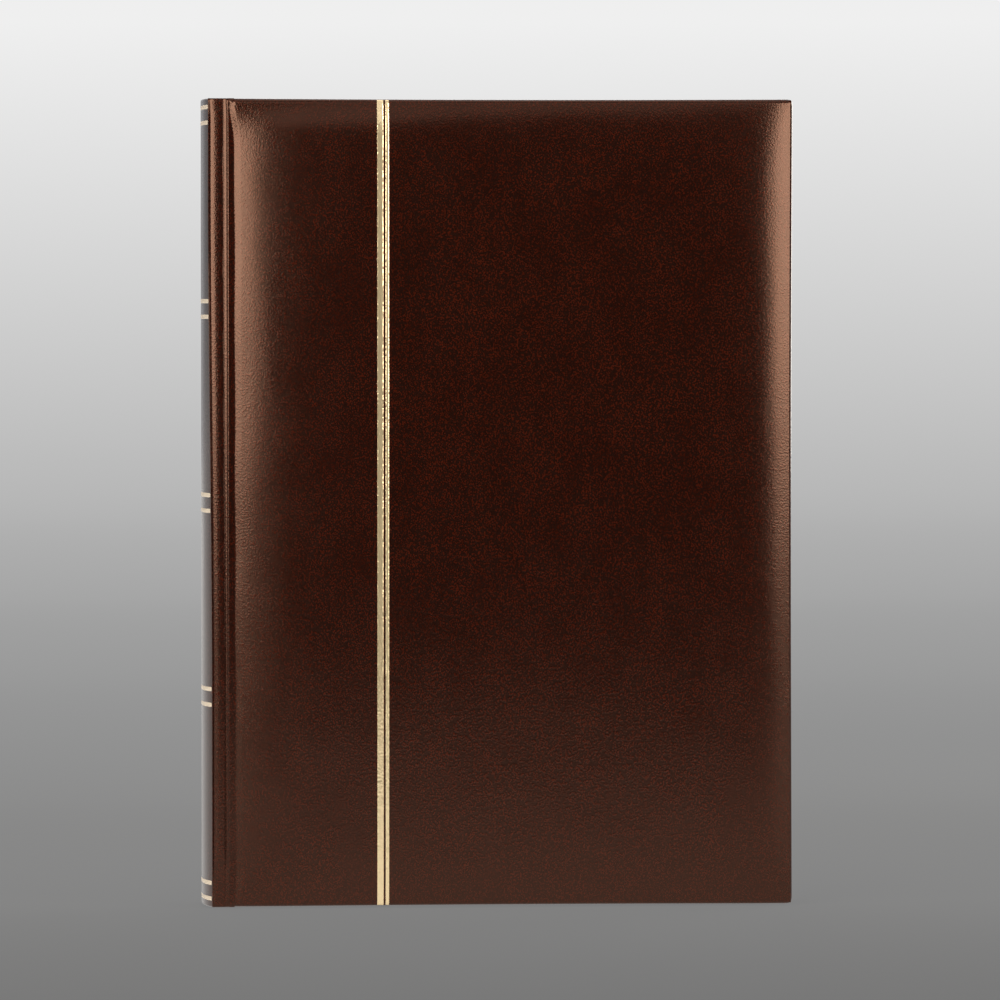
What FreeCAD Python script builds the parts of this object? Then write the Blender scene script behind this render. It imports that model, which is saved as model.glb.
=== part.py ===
import FreeCAD, Part
import math
import os

# Stamp album with padded covers, standing on its tail edge. Sizes are in millimetres.
# X runs from the spine to the fore-edge, Y from the front cover to the back cover, Z from tail to head.
# The origin is at the middle of the footprint, on the surface that the album stands on.

# Covers: a padded board in leatherette that is turned in over its inner face
cover_height = 310.0
face_width = 224.0  # first crease to fore-edge
board_thickness = 2.4
skin_thickness = 0.7
turn_in_width = 15.0
side_draw = 0.4  # how far head, tail and fore-edge draw in between their corners
corner_radius = 1.2
endpaper_thickness = 0.3
endpaper_margin = 4.0
endpaper_lap = 4.0  # over the linen hinge
board_linen_width = 22.0

# Padding: full over the middle, falling in an arc to a low edge
pad_crown = 3.6
pad_edge = 0.8
pad_fall_at_joint = 28.0
pad_fall_at_fore_edge = 16.0
pad_fall_at_ends = 11.0
pad_inset = 0.3  # how much smaller than its board the padding is cut
pad_end_lift = 0.05  # how far above the crown the falls to head and tail would meet

# Joint: a strip between two creases, and a flat margin beside the second crease
joint_clearance = 1.2  # between the spine and the padding of a cover that is folded right back
margin_width = 4.4
rib_rise = 0.5
crease_gap = 0.1
crease_bevel = 0.65
board_setback = 0.15
joint_linen_thickness = 0.4

# Spine: a bowed board in leatherette
spine_bow = 1.0
spine_return = 1.6  # side of the spine, from its corner to the first crease
spine_board_thickness = 2.0
spine_edge_gap = 0.4

# Leaf block: card leaves on linen hinges, bound between guard strips
leaf_count = 16
card_thickness = 0.7
leaf_room = 0.76  # free space between the pockets of two leaves
square = 4.0  # how far the covers stand out past the leaves
linen_thickness = 0.36
linen_reach = 7.0  # hinge line to card
linen_lap = 8.0  # over the card
linen_lap_thickness = 0.15
linen_fork = 0.4  # solid linen before the card's edge
hinge_gap = 0.1
guard_depth = 11.0
lining_thickness = 0.3
lining_lap = 6.0
lining_clearance = 0.1

# Pockets: clear film strips, glued to the card along their lower edge
strip_rows = 9
row_opening = 8.5  # bare card above each strip
strip_seam = 2.0
film_thickness = 0.12
pocket_slot = 0.1
page_margin = 3.0

# Gold foil: a wide and a narrow stripe down the front, and pairs of lines across the spine
foil_thickness = 0.1
stripe_from_crease = 63.1
wide_stripe = 2.7
stripe_gap = 0.5
narrow_stripe = 1.5
line_pairs = 5
line_width = 1.6
line_pair_pitch = 6.0
line_end_distance = 3.3  # middle of the outermost line to the end of the spine
line_corner_gap = 0.6

# Thickness of the leaf block, then levels out from a cover's inner face
leaf_thickness = card_thickness + 2 * (pocket_slot + film_thickness)
leaf_pitch = leaf_thickness + leaf_room
block_half = leaf_count * leaf_pitch / 2
inner_face = block_half + lining_thickness + lining_clearance
turn_in_level = endpaper_thickness
board_level = turn_in_level + skin_thickness
pad_level = board_level + board_thickness
skin_level = pad_level + skin_thickness
crease_radius = skin_thickness / 2
crease_level = pad_level + crease_radius
spine_half = inner_face + skin_level

# Places along X, from the spine to the fore-edge
joint_width = pad_crown + joint_clearance
overall_width = spine_bow + spine_return + face_width
crest_x = -overall_width / 2
spine_corner_x = crest_x + spine_bow
first_crease_x = spine_corner_x + spine_return
second_crease_x = first_crease_x + joint_width
fore_x = first_crease_x + face_width
skin_start_x = second_crease_x + crease_radius + crease_gap
board_x = skin_start_x + board_setback
pad_wall_x = second_crease_x + margin_width
board_linen_x = board_x + board_linen_width
spine_board_x = crest_x + skin_thickness + spine_board_thickness
spine_lip_x = spine_board_x + skin_thickness
lining_x = spine_lip_x + lining_clearance
guard_x = lining_x + lining_thickness
guard_end_x = guard_x + guard_depth
leaf_hinge_x = guard_end_x + hinge_gap + linen_thickness / 2
card_x = leaf_hinge_x + linen_reach
leaf_fore_x = fore_x - square


def point(x, y, z=0.0):
    return FreeCAD.Vector(x, y, z)


def face_of(start, *steps):
    """A face inside a closed outline. A step is a point, reached in a line, or a pair (via, end), reached in an arc."""
    edges = []
    here = start
    for step in steps + (start,):
        if isinstance(step, tuple):
            via, there = step
            edges.append(Part.Arc(here, via, there).toShape())
        else:
            there = step
            if not here.isEqual(there, 1e-7):
                edges.append(Part.LineSegment(here, there).toShape())
        here = there
    return Part.Face(Part.Wire(edges))


def box(x0, x1, y0, y1, z0, z1):
    low_y = min(y0, y1)
    return Part.makeBox(x1 - x0, abs(y1 - y0), z1 - z0, point(x0, low_y, z0))


def upright(face, z0, z1):
    """A section in X and Y, carried from height z0 to height z1."""
    solid = face.extrude(point(0, 0, z1 - z0))
    solid.translate(point(0, 0, z0))
    return solid


def arc_step(edge, top, along):
    """The half-way point of an arc that leaves top level and falls to edge. Both are (place, height) pairs."""
    run = abs(top[0] - edge[0])
    fall = top[1] - edge[1]
    radius = (run * run + fall * fall) / (2 * fall)
    half_angle = math.asin(run / radius) / 2
    place = top[0] - along * radius * math.sin(half_angle)
    return place, top[1] - radius + radius * math.cos(half_angle)


def out(side, level):
    """Y at a level out from the inner face of the front cover (side -1) or of the back cover (side 1)."""
    return side * (inner_face + level)


def layer(side, x0, x1, inner, outer, z0, z1):
    """A flat layer of a cover between two levels."""
    return box(x0, x1, out(side, inner), out(side, outer), z0, z1)


def crown_steps(make, start, end, level, crown, fall_at_start, fall_at_end):
    """The outline of padding from a low edge at start, over its crown, to a low edge at end."""
    low = level + pad_edge
    high = level + crown
    rise = (start + fall_at_start, high)
    fall = (end - fall_at_end, high)
    rise_via = arc_step((start, low), rise, 1)
    fall_via = arc_step((end, low), fall, -1)
    return [
        make(start, low),
        (make(*rise_via), make(*rise)),
        make(*fall),
        (make(*fall_via), make(end, low)),
    ]


def cover_outline(side, inset, inner, outer):
    """The cover's face outline, with drawn-in sides and round outer corners, carried between two levels."""
    depth = out(side, outer) - out(side, inner)
    radius = corner_radius
    reach = radius * (1 - math.sqrt(0.5))
    left = second_crease_x
    right = fore_x - inset
    tail = inset
    head = cover_height - inset
    middle_x = (left + right) / 2
    middle_z = cover_height / 2

    def at(x, z):
        return point(x, out(side, inner), z)

    face = face_of(
        at(left, tail),
        (at(middle_x, tail + side_draw), at(right - radius, tail)),
        (at(right - reach, tail + reach), at(right, tail + radius)),
        (at(right - side_draw, middle_z), at(right, head - radius)),
        (at(right - reach, head - reach), at(right - radius, head)),
        (at(middle_x, head - side_draw), at(left, head)),
    )
    return face.extrude(point(0, depth, 0))


def head_to_tail_section(side, inset, inner, level):
    """The cover's section from tail to head, with its crown, carried along X."""

    def at(z, height):
        return point(second_crease_x, out(side, height), z)

    tail = inset
    head = cover_height - inset
    crest = pad_crown + pad_end_lift
    crown = crown_steps(at, tail, head, level, crest, pad_fall_at_ends, pad_fall_at_ends)
    face = face_of(at(tail, inner), *crown, at(head, inner))
    return face.extrude(point(fore_x - second_crease_x, 0, 0))


def cover_board(side):
    edge = skin_thickness + side_draw
    return layer(side, board_x, fore_x - edge, board_level, pad_level, edge, cover_height - edge)


def cover_padding(side):
    def at(x, height):
        return point(x, out(side, height))

    edge = skin_thickness + side_draw + pad_inset
    start = pad_wall_x + skin_thickness
    end = fore_x - edge
    falls = (pad_fall_at_joint, pad_fall_at_fore_edge)
    crown = crown_steps(at, start, end, pad_level, pad_crown, *falls)
    face = face_of(at(start, pad_level), *crown, at(end, pad_level))
    pad = upright(face, 0, cover_height)
    pad = pad.common(cover_outline(side, edge, pad_level, pad_level + pad_crown))
    return pad.common(head_to_tail_section(side, edge, pad_level, pad_level))


def cover_envelope(side):
    """The outside of a covered board: bevelled crease, ribbed margin, then the crown of the padding."""

    def at(x, height):
        return point(x, out(side, height))

    rib_start = skin_start_x + crease_bevel
    rib_top = (rib_start + pad_wall_x) / 2
    falls = (pad_fall_at_joint, pad_fall_at_fore_edge)
    crown = crown_steps(at, pad_wall_x, fore_x, skin_level, pad_crown, *falls)
    face = face_of(
        at(board_x, turn_in_level),
        at(board_x, pad_level),
        at(skin_start_x, pad_level),
        at(rib_start, skin_level),
        (at(rib_top, skin_level + rib_rise), at(pad_wall_x, skin_level)),
        *crown,
        at(fore_x, turn_in_level),
    )
    body = upright(face, 0, cover_height)
    body = body.common(cover_outline(side, 0, turn_in_level, skin_level + pad_crown))
    return body.common(head_to_tail_section(side, 0, turn_in_level, skin_level))


def cover_skin(side, envelope):
    window = layer(
        side,
        second_crease_x,
        fore_x - turn_in_width,
        turn_in_level - skin_thickness,
        board_level,
        turn_in_width,
        cover_height - turn_in_width,
    )
    return envelope.cut(cover_board(side)).cut(cover_padding(side)).cut(window)


def board_linen(side):
    low = turn_in_width
    high = cover_height - turn_in_width
    return layer(side, board_x, board_linen_x, turn_in_level, board_level, low, high)


def endpaper(side):
    filler = layer(
        side,
        board_linen_x,
        fore_x - turn_in_width,
        turn_in_level,
        board_level,
        turn_in_width,
        cover_height - turn_in_width,
    )
    sheet = layer(
        side,
        board_linen_x - endpaper_lap,
        fore_x - endpaper_margin,
        0,
        turn_in_level,
        endpaper_margin,
        cover_height - endpaper_margin,
    )
    return filler.fuse(sheet)


def front_stripes(envelope):
    """Foil on the front cover: what a copy of the cover, moved out by the foil, shows within two bands."""
    raised = envelope.copy()
    raised.translate(point(0, -foil_thickness, 0))
    raised = raised.cut(envelope)
    start = first_crease_x + stripe_from_crease
    stripes = []
    for width in (wide_stripe, narrow_stripe):
        band = layer(-1, start, start + width, skin_level, skin_level + 2 * pad_crown, 0, cover_height)
        stripes.append(raised.common(band))
        start += width + stripe_gap
    return Part.makeCompound(stripes)


def joint_skin(side):
    """The strip between the creases: a rib with a round edge on each crease."""
    middle = out(side, crease_level)
    outer = out(side, skin_level)
    inner = out(side, pad_level)
    rib_top = (first_crease_x + second_crease_x) / 2
    face = face_of(
        point(first_crease_x, outer),
        (point(rib_top, out(side, skin_level + rib_rise)), point(second_crease_x, outer)),
        (point(second_crease_x + crease_radius, middle), point(second_crease_x, inner)),
        point(first_crease_x, inner),
        (point(first_crease_x - crease_radius, middle), point(first_crease_x, outer)),
    )
    return upright(face, 0, cover_height)


def joint_linen(side):
    start = first_crease_x + crease_radius
    end = second_crease_x - crease_radius
    inner = pad_level - joint_linen_thickness
    return layer(side, start, end, inner, pad_level, square, cover_height - square)


spine_radius = (spine_half**2 + spine_bow**2) / (2 * spine_bow)
spine_board_half = spine_half - skin_thickness - spine_edge_gap
spine_wall_end_x = first_crease_x - crease_radius - crease_gap


def spine_arc(inset, half):
    """The spine's bow at a depth under its surface: its front end, crest and back end."""
    radius = spine_radius - inset
    end_x = crest_x + spine_radius - math.sqrt(radius**2 - half**2)
    return point(end_x, -half), point(crest_x + inset, 0), point(end_x, half)


def spine_bar(inset, half, inner_x):
    """A bar between the spine's bow and a flat inner face."""
    front, crest, back = spine_arc(inset, half)
    return face_of(front, (crest, back), point(inner_x, half), point(inner_x, -half))


def spine_board():
    face = spine_bar(skin_thickness, spine_board_half, spine_board_x)
    return upright(face, skin_thickness, cover_height - skin_thickness)


def spine_outside():
    front, crest, back = spine_arc(0, spine_half)
    bevel_x = spine_wall_end_x - crease_bevel
    wall = spine_half - skin_thickness
    face = face_of(
        front,
        (crest, back),
        point(bevel_x, spine_half),
        point(spine_wall_end_x, wall),
        point(spine_wall_end_x, spine_board_half),
        point(spine_lip_x, spine_board_half),
        point(spine_lip_x, -spine_board_half),
        point(spine_wall_end_x, -spine_board_half),
        point(spine_wall_end_x, -wall),
        point(bevel_x, -spine_half),
    )
    return upright(face, 0, cover_height)


def spine_skin(outside):
    """Leatherette round the spine board, turned in at head and tail."""
    wall = spine_half - skin_thickness
    low = skin_thickness
    high = cover_height - skin_thickness
    hollow = upright(spine_bar(skin_thickness, wall, spine_board_x), low, high)
    skin = outside.cut(hollow)
    for side in (-1, 1):
        pocket = box(
            spine_corner_x,
            spine_wall_end_x,
            side * spine_board_half,
            side * wall,
            low,
            high,
        )
        skin = skin.cut(pocket)
    window = box(
        spine_board_x,
        spine_lip_x,
        -spine_board_half,
        spine_board_half,
        turn_in_width,
        cover_height - turn_in_width,
    )
    return skin.cut(window)


def spine_lines(outside):
    """Foil on the spine: what a copy of the spine, moved out by the foil, shows within each line."""
    raised = outside.copy()
    raised.translate(point(-foil_thickness, 0, 0))
    raised = raised.cut(outside)
    first_pair = line_end_distance + line_pair_pitch / 2
    pair_step = (cover_height - 2 * first_pair) / (line_pairs - 1)
    half = spine_half - line_corner_gap
    lines = []
    for pair in range(line_pairs):
        for place in (-0.5, 0.5):
            z = first_pair + pair * pair_step + place * line_pair_pitch
            low = z - line_width / 2
            band = box(crest_x - foil_thickness, spine_corner_x, -half, half, low, low + line_width)
            lines.append(raised.common(band))
    return Part.makeCompound(lines)


def spine_lining():
    """Mull and paper round the back of the leaf block, lapped over its front and back."""
    half = block_half + lining_thickness
    low = square
    high = cover_height - square
    wrap = box(lining_x, guard_x + lining_lap, -half, half, low, high)
    return wrap.cut(box(guard_x, guard_x + lining_lap, -block_half, block_half, low, high))


def leaf_y(number):
    return -block_half + (number - 0.5) * leaf_pitch


def bound_strip(y0, y1):
    return box(guard_x, guard_end_x, y0, y1, square, cover_height - square)


def linen_stubs():
    half = linen_thickness / 2
    leaves = range(1, leaf_count + 1)
    return Part.makeCompound([bound_strip(leaf_y(n) - half, leaf_y(n) + half) for n in leaves])


def guard_strips():
    """Card strips that fill the block between the linen tails, with half a strip at each face."""
    half = linen_thickness / 2
    edges = [-block_half]
    for number in range(1, leaf_count + 1):
        edges += [leaf_y(number) - half, leaf_y(number) + half]
    edges.append(block_half)
    return Part.makeCompound([bound_strip(a, b) for a, b in zip(edges[0::2], edges[1::2])])


def leaf(number):
    """A card leaf and the linen that hinges it, with a round nose on the hinge line."""
    y = leaf_y(number)
    half = linen_thickness / 2
    card_half = card_thickness / 2
    lap_half = card_half + linen_lap_thickness
    lap_x = card_x + linen_lap
    fork_x = card_x - linen_fork
    face = face_of(
        point(leaf_hinge_x, y - half),
        point(fork_x, y - half),
        point(fork_x, y - lap_half),
        point(lap_x, y - lap_half),
        point(lap_x, y - card_half),
        point(card_x, y - card_half),
        point(card_x, y + card_half),
        point(lap_x, y + card_half),
        point(lap_x, y + lap_half),
        point(fork_x, y + lap_half),
        point(fork_x, y + half),
        point(leaf_hinge_x, y + half),
        (point(leaf_hinge_x - half, y), point(leaf_hinge_x, y - half)),
    )
    low = square
    high = cover_height - square
    card = box(card_x, leaf_fore_x, y - card_half, y + card_half, low, high)
    return Part.makeCompound([upright(face, low, high), card])


def pocket_strips(number):
    """Film strips on both faces of a leaf, each open along its upper edge."""
    start = card_x + linen_lap + page_margin
    width = leaf_fore_x - page_margin - start
    row_step = (cover_height - 2 * square - 2 * page_margin) / strip_rows
    height = row_step - row_opening
    strips = []
    for side in (-1, 1):
        card = leaf_y(number) + side * card_thickness / 2
        inner = card + side * pocket_slot
        outer = inner + side * film_thickness
        for row in range(strip_rows):
            low = square + page_margin + row * row_step
            face = face_of(
                point(start, card, low),
                point(start, outer, low),
                point(start, outer, low + height),
                point(start, inner, low + height),
                point(start, inner, low + strip_seam),
                point(start, card, low + strip_seam),
            )
            strips.append(face.extrude(point(width, 0, 0)))
    return Part.makeCompound(strips)


def build():
    spine = spine_outside()
    shapes = {
        "spine_board": spine_board(),
        "spine_skin": spine_skin(spine),
        "spine_foil_lines": spine_lines(spine),
        "spine_lining": spine_lining(),
        "guard_strips": guard_strips(),
        "linen_stubs": linen_stubs(),
    }
    for name, side in (("front", -1), ("back", 1)):
        envelope = cover_envelope(side)
        shapes[name + "_joint_skin"] = joint_skin(side)
        shapes[name + "_joint_linen"] = joint_linen(side)
        shapes[name + "_board"] = cover_board(side)
        shapes[name + "_padding"] = cover_padding(side)
        shapes[name + "_skin"] = cover_skin(side, envelope)
        shapes[name + "_board_linen"] = board_linen(side)
        shapes[name + "_endpaper"] = endpaper(side)
        if side < 0:
            shapes["front_foil_band"] = front_stripes(envelope)
    for number in range(1, leaf_count + 1):
        shapes[f"leaf_{number:02d}"] = leaf(number)
        shapes[f"pocket_strips_{number:02d}"] = pocket_strips(number)
    return shapes


os.makedirs("parts", exist_ok=True)
for node, shape in build().items():
    shape.exportStep(f"parts/{node}.step")
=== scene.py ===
import math

import bmesh
import bpy
import numpy as np
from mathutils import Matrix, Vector, noise


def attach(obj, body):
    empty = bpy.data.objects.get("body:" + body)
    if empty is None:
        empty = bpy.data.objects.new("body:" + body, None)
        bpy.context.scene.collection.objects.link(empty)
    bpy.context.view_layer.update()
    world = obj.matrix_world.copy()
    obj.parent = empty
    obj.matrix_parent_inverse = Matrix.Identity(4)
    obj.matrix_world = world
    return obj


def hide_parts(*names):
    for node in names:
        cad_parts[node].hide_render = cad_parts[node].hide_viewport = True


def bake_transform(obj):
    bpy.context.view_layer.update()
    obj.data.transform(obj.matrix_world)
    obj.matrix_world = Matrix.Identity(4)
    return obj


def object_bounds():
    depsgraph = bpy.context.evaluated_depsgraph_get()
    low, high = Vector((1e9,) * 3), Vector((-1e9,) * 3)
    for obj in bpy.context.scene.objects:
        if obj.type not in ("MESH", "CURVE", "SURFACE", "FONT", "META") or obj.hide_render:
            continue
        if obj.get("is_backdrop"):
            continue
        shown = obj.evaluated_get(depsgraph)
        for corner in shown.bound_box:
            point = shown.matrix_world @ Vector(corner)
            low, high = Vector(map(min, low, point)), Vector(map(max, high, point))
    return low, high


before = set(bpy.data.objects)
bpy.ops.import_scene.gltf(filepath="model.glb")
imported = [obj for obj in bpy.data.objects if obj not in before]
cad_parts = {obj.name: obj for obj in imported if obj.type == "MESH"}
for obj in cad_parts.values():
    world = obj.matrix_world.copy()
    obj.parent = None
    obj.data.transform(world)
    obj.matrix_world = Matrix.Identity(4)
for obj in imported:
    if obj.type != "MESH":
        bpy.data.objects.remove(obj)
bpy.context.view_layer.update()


# Leaves: sixteen sheets of black card. A strip of black book linen is folded over the spine edge
# of each card and glued to both faces, and the leaf turns on that linen.

MM = 0.001
LEAF_COUNT = 16
CARD_EDGE_X = -91.22
LINEN_END_X = -83.2
LEAF_THREAD = 0.28


def add(tree, kind, sockets=None, **settings):
    """Adds a node. A socket given as a value is linked, and any other value is set."""
    made = tree.nodes.new(kind)
    for key, value in settings.items():
        setattr(made, key, value)
    for key, value in (sockets or {}).items():
        if isinstance(value, bpy.types.NodeSocket):
            tree.links.new(value, made.inputs[key])
        else:
            made.inputs[key].default_value = value
    return made


def new_finish(name):
    """An empty finish: its material, its node tree and its shader."""
    material = bpy.data.materials.new(name)
    material.use_nodes = True
    tree = material.node_tree
    tree.nodes.clear()
    shader = add(tree, "ShaderNodeBsdfPrincipled")
    add(tree, "ShaderNodeOutputMaterial", {"Surface": shader.outputs[0]})
    return material, tree, shader


def in_millimetres(tree, stretch=(1.0, 1.0, 1.0)):
    """Places on the piece in millimetres, divided by a size along each axis."""
    place = add(tree, "ShaderNodeTexCoord").outputs["Object"]
    scale = tuple(1.0 / (MM * s) for s in stretch)
    return add(tree, "ShaderNodeVectorMath", {0: place, 1: scale}, operation="MULTIPLY").outputs[0]


def sums(tree, operation, a, b):
    return add(tree, "ShaderNodeMath", {0: a, 1: b}, operation=operation).outputs[0]


def colour_between(tree, share, first, second):
    mixed = add(tree, "ShaderNodeMix", {0: share, 6: first, 7: second}, data_type="RGBA")
    return mixed.outputs[2]


def spread(tree, value, low, high, to_low=0.0, to_high=1.0):
    """A value from low to high, spread over another range with soft ends."""
    sockets = {0: value, 1: low, 2: high, 3: to_low, 4: to_high}
    return add(tree, "ShaderNodeMapRange", sockets, interpolation_type="SMOOTHSTEP").outputs[0]


def cloudy(tree, place, scale, detail=2.0, roughness=0.5):
    """The value of a noise at places."""
    sockets = {"Vector": place, "Scale": scale, "Detail": detail, "Roughness": roughness}
    return add(tree, "ShaderNodeTexNoise", sockets).outputs[0]


def emboss(tree, shader, height, strength, depth):
    """Gives a finish a relief with a depth in millimetres."""
    bump = add(tree, "ShaderNodeBump", {"Height": height, "Strength": strength, "Distance": depth * MM})
    tree.links.new(bump.outputs[0], shader.inputs["Normal"])


def weave(tree, thread):
    """The height of a plain weave with threads of a width in millimetres, on faces along X and Z."""
    cross = in_millimetres(tree, (thread * 2, thread * 2, thread * 2))
    wobble = cloudy(tree, cross, 0.15, 2.0)
    warped = add(tree, "ShaderNodeVectorMath", {0: cross, 1: wobble}, operation="ADD").outputs[0]
    part = add(tree, "ShaderNodeSeparateXYZ", {0: warped}).outputs
    along = sums(tree, "SINE", sums(tree, "MULTIPLY", sums(tree, "ADD", part[0], part[1]), math.tau), 0.0)
    up = sums(tree, "SINE", sums(tree, "MULTIPLY", part[2], math.tau), 0.0)
    return spread(tree, sums(tree, "MULTIPLY", along, up), -1.0, 1.0)


def page_card():
    material, tree, shader = new_finish("page_card")
    place = in_millimetres(tree)
    fibre = cloudy(tree, place, 2.2, 6.0, 0.7)
    cloud = cloudy(tree, place, 0.06, 3.0)
    threads = weave(tree, LEAF_THREAD)
    x = add(tree, "ShaderNodeSeparateXYZ", {0: place}).outputs[0]
    linen = sums(tree, "LESS_THAN", x, LINEN_END_X)
    mottle = spread(tree, cloud, 0.3, 0.7)
    card = colour_between(tree, mottle, (0.010, 0.010, 0.011, 1), (0.017, 0.016, 0.016, 1))
    cloth = colour_between(tree, threads, (0.006, 0.006, 0.007, 1), (0.028, 0.027, 0.027, 1))
    tree.links.new(colour_between(tree, linen, card, cloth), shader.inputs["Base Color"])
    relief = add(tree, "ShaderNodeMix", {0: linen, 2: fibre, 3: threads}, data_type="FLOAT").outputs[0]
    emboss(tree, shader, relief, 0.6, 0.05)
    tree.links.new(spread(tree, fibre, 0.2, 0.8, 0.62, 0.82), shader.inputs["Roughness"])
    shader.inputs["Specular IOR Level"].default_value = 0.35
    return material


def finish_node(node, material):
    """Gives a piece of the frame its finish."""
    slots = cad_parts[node].data.materials
    slots.clear()
    slots.append(material)


card_finish = page_card()
for number in range(1, LEAF_COUNT + 1):
    finish_node(f"leaf_{number:02d}", card_finish)


# Pockets: strips of clear film across both faces of each leaf, welded to the card along the lower
# edge and open along the upper edge. The weld shows as a milky line.

ROW_STEP = 32.889
FIRST_ROW_Z = 7.0
WELD_HEIGHT = 2.0
WELD_MILKINESS = 0.16
SCUFF_SIZE = (9.0, 9.0, 0.4)


def clear_film():
    material, tree, shader = new_finish("clear_film")
    place = in_millimetres(tree)
    z = add(tree, "ShaderNodeSeparateXYZ", {0: place}).outputs[2]
    in_row = sums(tree, "MODULO", sums(tree, "SUBTRACT", z, FIRST_ROW_Z), ROW_STEP)
    weld = sums(tree, "LESS_THAN", in_row, WELD_HEIGHT)
    ripple = cloudy(tree, place, 0.09, 2.0)
    scuff = cloudy(tree, in_millimetres(tree, SCUFF_SIZE), 1.0)
    shader.inputs["Base Color"].default_value = (0.80, 0.83, 0.85, 1)
    milky = sums(tree, "MULTIPLY", weld, WELD_MILKINESS)
    alpha = sums(tree, "ADD", milky, spread(tree, scuff, 0.55, 0.8, 0.10, 0.17))
    tree.links.new(alpha, shader.inputs["Alpha"])
    tree.links.new(spread(tree, scuff, 0.4, 0.8, 0.07, 0.22), shader.inputs["Roughness"])
    emboss(tree, shader, ripple, 0.5, 0.25)
    shader.inputs["Specular IOR Level"].default_value = 0.8
    return material


film_finish = clear_film()
for number in range(1, LEAF_COUNT + 1):
    finish_node(f"pocket_strips_{number:02d}", film_finish)


# Interleaves: thin glassine sheets that keep the stamps on facing pages apart. Each is pasted to the
# linen of the leaf in front of it and lies loose over that leaf's back, a little wavy.

LEAF_PITCH = 1.9
FIRST_LEAF_Y = -14.25
LEAF_FORE_X = 109.3
LEAF_TAIL_Z = 4.0
LEAF_HEAD_Z = 306.0
GLASSINE_THICKNESS = 0.04
GLASSINE_LEVEL = 0.54  # from the middle of the leaf, where it is pasted
GLASSINE_LIFT = 0.15
GLASSINE_WAVE = 0.05
PASTE_MARGIN = 1.0
LIFT_WIDTH = 11.0
LOOSE_X = -74.0
FORE_MARGIN = 1.5
END_MARGIN = 1.2


def soft_step(share):
    share = np.clip(share, 0.0, 1.0)
    return share * share * (3 - 2 * share)


def grid_quads(rows, columns):
    """The faces of a grid of places."""
    corners = [r * columns + c for r in range(rows - 1) for c in range(columns - 1)]
    return [(a, a + 1, a + columns + 1, a + columns) for a in corners]


def round_the_grid(rows, columns):
    """Rows and columns of a grid's border, in order round it from the tail end of the joint side."""
    border = [(0, c) for c in range(columns)]
    border += [(r, columns - 1) for r in range(1, rows)]
    border += [(rows - 1, c) for c in range(columns - 2, -1, -1)]
    border += [(r, 0) for r in range(rows - 2, 0, -1)]
    return np.array(border)


def closed_sheet(name, outer, inner, finish):
    """A closed piece between two grids of places in millimetres, both with the same rows and columns."""
    rows, columns = outer.shape[:2]
    count = rows * columns
    faces = []
    for quad in grid_quads(rows, columns):
        faces.append(quad)
        faces.append(tuple(count + v for v in reversed(quad)))
    border = round_the_grid(rows, columns)
    rim = (border[:, 0] * columns + border[:, 1]).tolist()
    for a, b in zip(rim, rim[1:] + rim[:1]):
        faces.append((b, a, count + a, count + b))
    places = np.concatenate([outer.reshape(-1, 3), inner.reshape(-1, 3)])
    return solid_piece(name, places, faces, finish)


def solid_piece(name, places, faces, finish, sharp_angle=40.0):
    """A smooth mesh from places in millimetres, with hard edges where faces meet at a large angle."""
    mesh = bpy.data.meshes.new(name)
    mesh.from_pydata([tuple(p) for p in np.asarray(places) * MM], [], faces)
    mesh.validate()
    mesh.materials.append(finish)
    piece = bpy.data.objects.new(name, mesh)
    bpy.context.scene.collection.objects.link(piece)
    built = bmesh.new()
    built.from_mesh(mesh)
    bmesh.ops.recalc_face_normals(built, faces=built.faces)
    limit = math.radians(sharp_angle)
    for face in built.faces:
        face.smooth = True
    for edge in built.edges:
        edge.smooth = len(edge.link_faces) == 2 and edge.calc_face_angle(0.0) < limit
    built.to_mesh(mesh)
    built.free()
    return piece


def glassine():
    material, tree, shader = new_finish("glassine")
    place = in_millimetres(tree)
    fibre = cloudy(tree, place, 0.5, 5.0, 0.65)
    cockle = cloudy(tree, place, 0.035, 3.0)
    tone = colour_between(tree, fibre, (0.62, 0.60, 0.53, 1), (0.78, 0.76, 0.70, 1))
    tree.links.new(tone, shader.inputs["Base Color"])
    tree.links.new(spread(tree, fibre, 0.3, 0.7, 0.36, 0.52), shader.inputs["Alpha"])
    tree.links.new(spread(tree, cockle, 0.3, 0.7, 0.28, 0.45), shader.inputs["Roughness"])
    emboss(tree, shader, cockle, 0.6, 0.8)
    return material


def interleaf(number, finish):
    lifting = np.linspace(CARD_EDGE_X + PASTE_MARGIN, CARD_EDGE_X + LIFT_WIDTH, 8)
    loose = np.linspace(LOOSE_X, LEAF_FORE_X - FORE_MARGIN, 22)
    x = np.concatenate([lifting, loose])
    z = np.linspace(LEAF_TAIL_Z + END_MARGIN, LEAF_HEAD_Z - END_MARGIN, 30)
    grid_x, grid_z = np.meshgrid(x, z)
    lift = soft_step((grid_x - x[0]) / LIFT_WIDTH)
    wave = np.sin(grid_z * 0.051 + number * 1.7) * np.sin(grid_x * 0.037 + number * 0.9)
    off = GLASSINE_LEVEL + lift * (GLASSINE_LIFT + GLASSINE_WAVE * wave)
    y = FIRST_LEAF_Y + LEAF_PITCH * (number - 1)
    near = np.stack([grid_x, y + off, grid_z], axis=-1)
    far = near + np.array([0.0, GLASSINE_THICKNESS, 0.0])
    return closed_sheet(f"interleaf_{number:02d}", near, far, finish)


glassine_finish = glassine()
for number in range(1, LEAF_COUNT):
    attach(interleaf(number, glassine_finish), f"leaf_{number:02d}")


# Bound edge: the linen of the leaves is glued up between guard strips of black card, and a lining
# of mull and paper is pasted round the back of the block.

LINEN_THREAD = 0.3
MULL_THREAD = 0.7


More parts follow.
